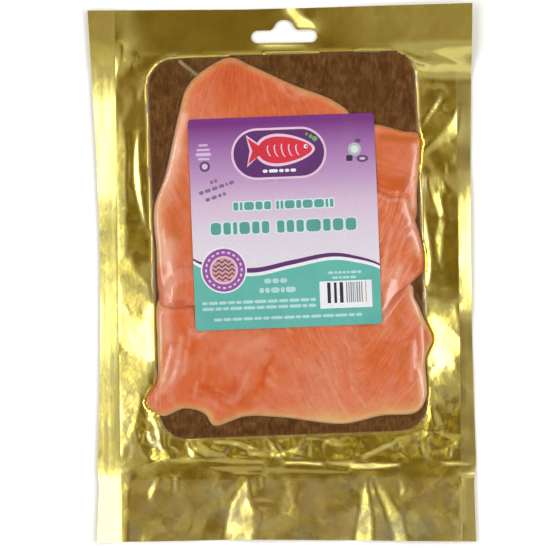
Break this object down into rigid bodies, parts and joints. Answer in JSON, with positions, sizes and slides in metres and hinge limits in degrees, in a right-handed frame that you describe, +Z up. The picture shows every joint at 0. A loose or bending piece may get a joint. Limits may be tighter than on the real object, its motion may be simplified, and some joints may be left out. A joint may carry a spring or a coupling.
{
  "type": "pack of smoked salmon",
  "caption": "Flat vacuum pack of sliced smoked salmon on a board, with a gold foil back, clear front film, paper label and hang slot.",
  "frame": {"origin": "middle of the pouch's width and length, on the underside of the foil back", "axes": "+X across the pack to the right as the label is read, +Y along the pack towards the header with the hang slot, +Z up out of the label"},
  "size_m": [0.184, 0.2574, 0.0102],
  "materials": {
    "gold_foil": "metallised gold laminate, semi-gloss, creased",
    "clear_film": "clear glossy film",
    "brown_board": "dark brown laminated board under film",
    "salmon": "moist cold-smoked salmon",
    "label_print": "coated paper, printed in purple and teal"
  },
  "bodies": {
    "root": {"foil_back": "gold_foil", "board": "brown_board", "salmon_slice_1": "salmon", "salmon_slice_2": "salmon", "salmon_slice_3": "salmon", "salmon_slice_4": "salmon", "clear_film": "clear_film", "label": "label_print"}
  },
  "joints": []
}
